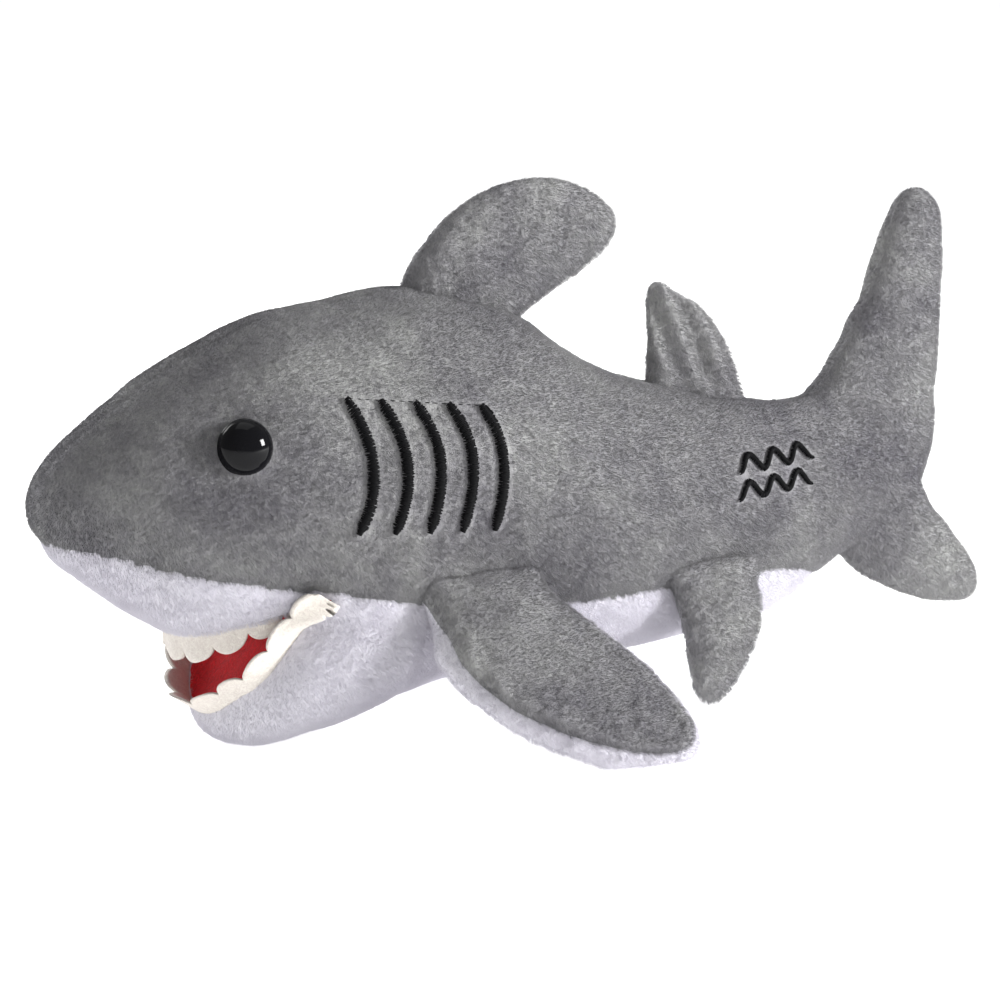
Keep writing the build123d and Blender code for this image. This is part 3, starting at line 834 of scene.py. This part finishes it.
def plush(name, dark, middle, light, spread, sheen_tint):
    """Short-pile velboa: wide brushed patches, a fine knitted grain under the nap, and a soft sheen."""
    material, tree, shader, add = nodes_of(name)
    link = tree.links.new
    place = add("ShaderNodeTexCoord").outputs["Object"]
    stretch = add("ShaderNodeMapping")
    stretch.inputs["Scale"].default_value = (1, 1, 0.45)
    link(place, stretch.inputs["Vector"])
    broad = add("ShaderNodeTexNoise", Scale=26.0, Detail=3.0, Roughness=0.55, Distortion=0.5)
    link(place, broad.inputs["Vector"])
    tufts = add("ShaderNodeTexNoise", Scale=210.0, Detail=3.0, Roughness=0.65, Distortion=0.8)
    link(place, tufts.inputs["Vector"])
    fine = add("ShaderNodeTexNoise", Scale=1500.0, Detail=2.0, Roughness=0.8)
    link(stretch.outputs["Vector"], fine.inputs["Vector"])

    def blend_of(share, first, second):
        node = add("ShaderNodeMix")
        node.data_type = "FLOAT"
        node.inputs[0].default_value = share
        link(first, node.inputs[2])
        link(second, node.inputs[3])
        return node.outputs[0]
    patches = blend_of(0.3, broad.outputs["Fac"], tufts.outputs["Fac"])
    nap = blend_of(0.3, patches, fine.outputs["Fac"])
    colour = ramp(tree, add, nap, [(0.5 - spread, dark), (0.5, middle), (0.5 + spread, light)])
    link(colour, shader.inputs["Base Color"])
    shader.inputs["Roughness"].default_value = 0.92
    shader.inputs["Specular IOR Level"].default_value = 0.12
    shader.inputs["Sheen Weight"].default_value = 0.3
    shader.inputs["Sheen Roughness"].default_value = 0.5
    shader.inputs["Sheen Tint"].default_value = (*sheen_tint, 1)
    coarse = add("ShaderNodeBump", Strength=0.35, Distance=0.0006)
    link(tufts.outputs["Fac"], coarse.inputs["Height"])
    grain = add("ShaderNodeBump", Strength=0.6, Distance=0.0003)
    link(fine.outputs["Fac"], grain.inputs["Height"])
    link(coarse.outputs["Normal"], grain.inputs["Normal"])
    link(grain.outputs["Normal"], shader.inputs["Normal"])
    return material


def felt(name, colour, shade, scale=900.0):
    """Pressed felt: matted short fibres."""
    material, tree, shader, add = nodes_of(name)
    link = tree.links.new
    place = add("ShaderNodeTexCoord").outputs["Object"]
    fibres = add("ShaderNodeTexNoise", Scale=scale, Detail=4.0, Roughness=0.75, Distortion=1.6)
    link(place, fibres.inputs["Vector"])
    link(ramp(tree, add, fibres.outputs["Fac"], [(0.36, shade), (0.64, colour)]), shader.inputs["Base Color"])
    shader.inputs["Roughness"].default_value = 0.95
    shader.inputs["Sheen Weight"].default_value = 0.2
    bump = add("ShaderNodeBump", Strength=0.6, Distance=0.0004)
    link(fibres.outputs["Fac"], bump.inputs["Height"])
    link(bump.outputs["Normal"], shader.inputs["Normal"])
    return material


def thread(name, colour):
    """Glossy embroidery thread, with its twist as fine stripes."""
    material, tree, shader, add = nodes_of(name)
    link = tree.links.new
    place = add("ShaderNodeTexCoord").outputs["Object"]
    twist = add("ShaderNodeTexWave", Scale=1400.0, Distortion=2.0, Detail=1.0)
    link(place, twist.inputs["Vector"])
    dark = tuple(c * 0.4 for c in colour)
    link(ramp(tree, add, twist.outputs["Fac"], [(0.2, dark), (0.9, colour)]), shader.inputs["Base Color"])
    shader.inputs["Roughness"].default_value = 0.6
    shader.inputs["Specular IOR Level"].default_value = 0.1
    return material


def eye_plastic(name):
    """Black polished acrylic with faint wear."""
    material, tree, shader, add = nodes_of(name)
    link = tree.links.new
    place = add("ShaderNodeTexCoord").outputs["Object"]
    wear = add("ShaderNodeTexNoise", Scale=900.0, Detail=3.0)
    link(place, wear.inputs["Vector"])
    rough = add("ShaderNodeMapRange")
    rough.inputs["To Min"].default_value, rough.inputs["To Max"].default_value = 0.03, 0.1
    link(wear.outputs["Fac"], rough.inputs["Value"])
    link(rough.outputs["Result"], shader.inputs["Roughness"])
    shader.inputs["Base Color"].default_value = (0.004, 0.004, 0.005, 1)
    shader.inputs["Specular IOR Level"].default_value = 0.16
    return material


def give(obj, material):
    """The object's one material."""
    obj.data.materials.clear()
    obj.data.materials.append(material)


def pile(obj, count, seed):
    """Short fibres over a fabric piece, brushed one way, and none under stitches or eyes."""
    bare = obj.vertex_groups.new(name="pile")
    for vertex in obj.data.vertices:
        _, _, gap = COVERED.find(vertex.co)
        bare.add([vertex.index], 0.0 if gap < BARE_REACH / 1000 else 1.0, "REPLACE")
    system = obj.modifiers.new("pile", "PARTICLE_SYSTEM").particle_system
    system.seed = seed
    s = system.settings
    s.type = "HAIR"
    s.use_advanced_hair = True
    s.count = count
    s.hair_step = 3
    s.emit_from = "FACE"
    s.use_emit_random = True
    s.use_even_distribution = True
    quarter = PILE_LENGTH / 4000  # a strand comes out four times as long as its factors, which are in metres
    s.normal_factor = quarter
    s.object_align_factor = tuple(quarter * f for f in PILE_FLOW)
    s.factor_random = quarter * 0.3
    system.vertex_group_density = bare.name
    s.child_type = "INTERPOLATED"
    s.rendered_child_count = PILE_CHILDREN
    s.child_percent = 0
    s.child_length = 1.0
    s.roughness_endpoint = 0.0003
    s.root_radius = 0.06
    s.tip_radius = 0.03
    s.radius_scale = 0.001
    s.display_step = 2
    s.render_step = 2


# ---------------------------------------------------------------- build it
skins = make_skins()
fins = make_fins()
embroidery = make_embroidery(skins)
eyes = {word: make_eye(side, word) for side, word in ((-1, "left"), (1, "right"))}
covering = [v.co for obj in (*embroidery, *eyes.values()) for v in obj.data.vertices]
COVERED = KDTree(len(covering))
for number, place in enumerate(covering):
    COVERED.insert(place, number)
COVERED.balance()

GREY = plush("grey_plush", (0.14, 0.135, 0.153), (0.25, 0.247, 0.255), (0.375, 0.377, 0.368),
             spread=0.16, sheen_tint=(0.55, 0.55, 0.6))
WHITE = plush("white_plush", (0.58, 0.56, 0.62), (0.69, 0.675, 0.725), (0.77, 0.76, 0.80),
              spread=0.2, sheen_tint=(0.9, 0.9, 1.0))
RED = felt("red_lining", (0.88, 0.008, 0.02), (0.56, 0.0, 0.008), scale=600)
FELT = felt("tooth_felt", (0.81, 0.77, 0.70), (0.64, 0.58, 0.53))
THREAD = thread("black_thread", (0.004, 0.004, 0.005))
EYE = eye_plastic("eye_plastic")

head_tree = surface_of([skins["snout_skin"], skins["left_side_skin"], skins["right_side_skin"]])
upper_rim = rim(skins["snout_skin"], UPPER_LIP, count=260, past_corner=0.2)
lower_rim = rim(skins["jaw_and_throat_skin"], LOWER_LIP, count=300, past_corner=1.8)
upper_teeth = felt_teeth("upper_felt_teeth", upper_rim, head_tree, direction=-1, height=8.8,
                         corner_height=2.0, lobe=9.8, depth=3.6, lean=-0.8, inset=1.2, seed=3)
lower_teeth = felt_teeth("lower_felt_teeth", lower_rim, head_tree, direction=1, height=5.2,
                         corner_height=9.6, lobe=9.4, depth=2.6, lean=2.4, inset=1.0, seed=8)
palate = lining("palate_lining", upper_rim[0], dome=5.0, back_shift=0.6, seed=2)
tongue = lining("tongue_lining", lower_rim[0], dome=-4.0, back_shift=-0.9, seed=6)

PLUSH_SLOTS = {"grey": (GREY, "grey_plush"), "white": (WHITE, "white_plush")}


def finish_plush(obj, kind):
    """Gives a skin its plush, its pile and a finer mesh."""
    material, slot_name = PLUSH_SLOTS[kind]
    give(obj, material)
    area = sum(f.area for f in obj.data.polygons) * 1e6
    pile(obj, int(area * PILE_PER_MM2), seed=len(obj.name))
    subdivide(obj)


left_side, right_side = skins["left_side_skin"], skins["right_side_skin"]
snout_skin, throat_skin, belly_skin = skins["snout_skin"], skins["jaw_and_throat_skin"], skins["belly_skin"]
for obj in (left_side, right_side):
    finish_plush(obj, "grey")
    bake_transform(obj)
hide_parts("left_side_panel", "left_tail_panel", "tail_stuffing")
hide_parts("right_side_panel", "right_tail_panel", "torso_stuffing")
for obj in (snout_skin, throat_skin, belly_skin):
    finish_plush(obj, "white")
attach(snout_skin, "torso")
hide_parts("snout_panel")
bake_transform(throat_skin)
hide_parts("lower_jaw_panel", "jaw_stuffing")
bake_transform(belly_skin)
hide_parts("belly_panel")

for body, panels, origin, span in fins:
    for obj in panels:
        finish_plush(obj, "white" if "bottom" in obj.name else "grey")
        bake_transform(obj)
        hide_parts(obj.name.replace("_skin", "_panel"))
    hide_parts(f"{body}_stuffing")

for obj, node in zip(embroidery, ("left_gill_embroidery", "right_gill_embroidery", "flank_embroidery")):
    give(obj, THREAD)
    if "flank" in node:
        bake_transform(obj)
    else:
        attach(obj, "torso")
    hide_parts(node)

for obj, body, node in ((upper_teeth, "torso", "upper_teeth"), (lower_teeth, "lower_jaw", "lower_teeth")):
    give(obj, FELT)
    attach(obj, body)
    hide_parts(node)
for obj, body, node in ((palate, "torso", "upper_mouth_lining"), (tongue, "lower_jaw", "lower_mouth_lining")):
    give(obj, RED)
    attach(obj, body)
    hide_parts(node)
for word, eye in eyes.items():
    give(eye, EYE)
    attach(eye, "torso")
    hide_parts(f"{word}_eye")
    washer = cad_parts[f"{word}_eye_washer"]
    give(washer, felt(f"{word}_washer_plastic", (0.7, 0.7, 0.7), (0.6, 0.6, 0.6)))

# ---------------------------------------------------------------- floor, light and camera, in metres
FLOOR_HALF = 30.0
floor_mesh = bpy.data.meshes.new("floor")
corners = [(x * FLOOR_HALF, y * FLOOR_HALF, 0) for x, y in ((-1, -1), (1, -1), (1, 1), (-1, 1))]
floor_mesh.from_pydata(corners, [], [(0, 1, 2, 3)])
floor = bpy.data.objects.new("floor", floor_mesh)
bpy.context.scene.collection.objects.link(floor)
floor_material, _, floor_shader, _ = nodes_of("pale_floor")
floor_shader.inputs["Base Color"].default_value = (0.93, 0.93, 0.93, 1)
floor_shader.inputs["Roughness"].default_value = 0.9
floor_shader.inputs["Emission Color"].default_value = (1, 1, 1, 1)
floor_shader.inputs["Emission Strength"].default_value = 0.75
floor_mesh.materials.append(floor_material)

world = bpy.data.worlds.new("studio")
world.use_nodes = True
sky = world.node_tree.nodes["Background"]
sky.inputs["Color"].default_value = (1, 1, 1, 1)
# The sky lights the toy dimly, and the camera sees it white.
seen = world.node_tree.nodes.new("ShaderNodeLightPath")
brightness = world.node_tree.nodes.new("ShaderNodeMapRange")
brightness.inputs["To Min"].default_value, brightness.inputs["To Max"].default_value = 0.3, 1.0
world.node_tree.links.new(seen.outputs["Is Camera Ray"], brightness.inputs["Value"])
world.node_tree.links.new(brightness.outputs["Result"], sky.inputs["Strength"])
bpy.context.scene.world = world


def softbox(name, place, aim, size, power):
    """A square area light, in metres, that faces a point."""
    data = bpy.data.lights.new(name, "AREA")
    data.size, data.energy = size, power
    lamp = bpy.data.objects.new(name, data)
    lamp.location = place
    lamp.rotation_mode = "QUATERNION"
    lamp.rotation_quaternion = (Vector(aim) - Vector(place)).to_track_quat("-Z", "Y")
    bpy.context.scene.collection.objects.link(lamp)


softbox("key", (0.95, -0.85, 0.42), (0.02, 0, 0.05), 0.36, 28)
softbox("top", (0.1, 0.1, 1.2), (0, 0, 0.05), 0.9, 2)
softbox("far_side", (-0.3, 1.2, 0.5), (0, 0, 0.05), 0.9, 14)

AZIMUTH, ELEVATION, DISTANCE = math.radians(-30), math.radians(12), 0.600
AIM = Vector((-0.0288, -0.020, 0.0561))
back = Vector((math.sin(AZIMUTH) * math.cos(ELEVATION), -math.cos(AZIMUTH) * math.cos(ELEVATION),
               math.sin(ELEVATION)))
camera_data = bpy.data.cameras.new("camera")
camera_data.lens, camera_data.sensor_width = 88.6, 36.0
camera = bpy.data.objects.new("camera", camera_data)
camera.location = AIM + back * DISTANCE
camera.rotation_mode = "QUATERNION"
camera.rotation_quaternion = (-back).to_track_quat("-Z", "Y")
camera_data.clip_start, camera_data.clip_end = 0.05, 20
bpy.context.scene.collection.objects.link(camera)
bpy.context.scene.camera = camera
bpy.context.scene.view_settings.view_transform = "Standard"
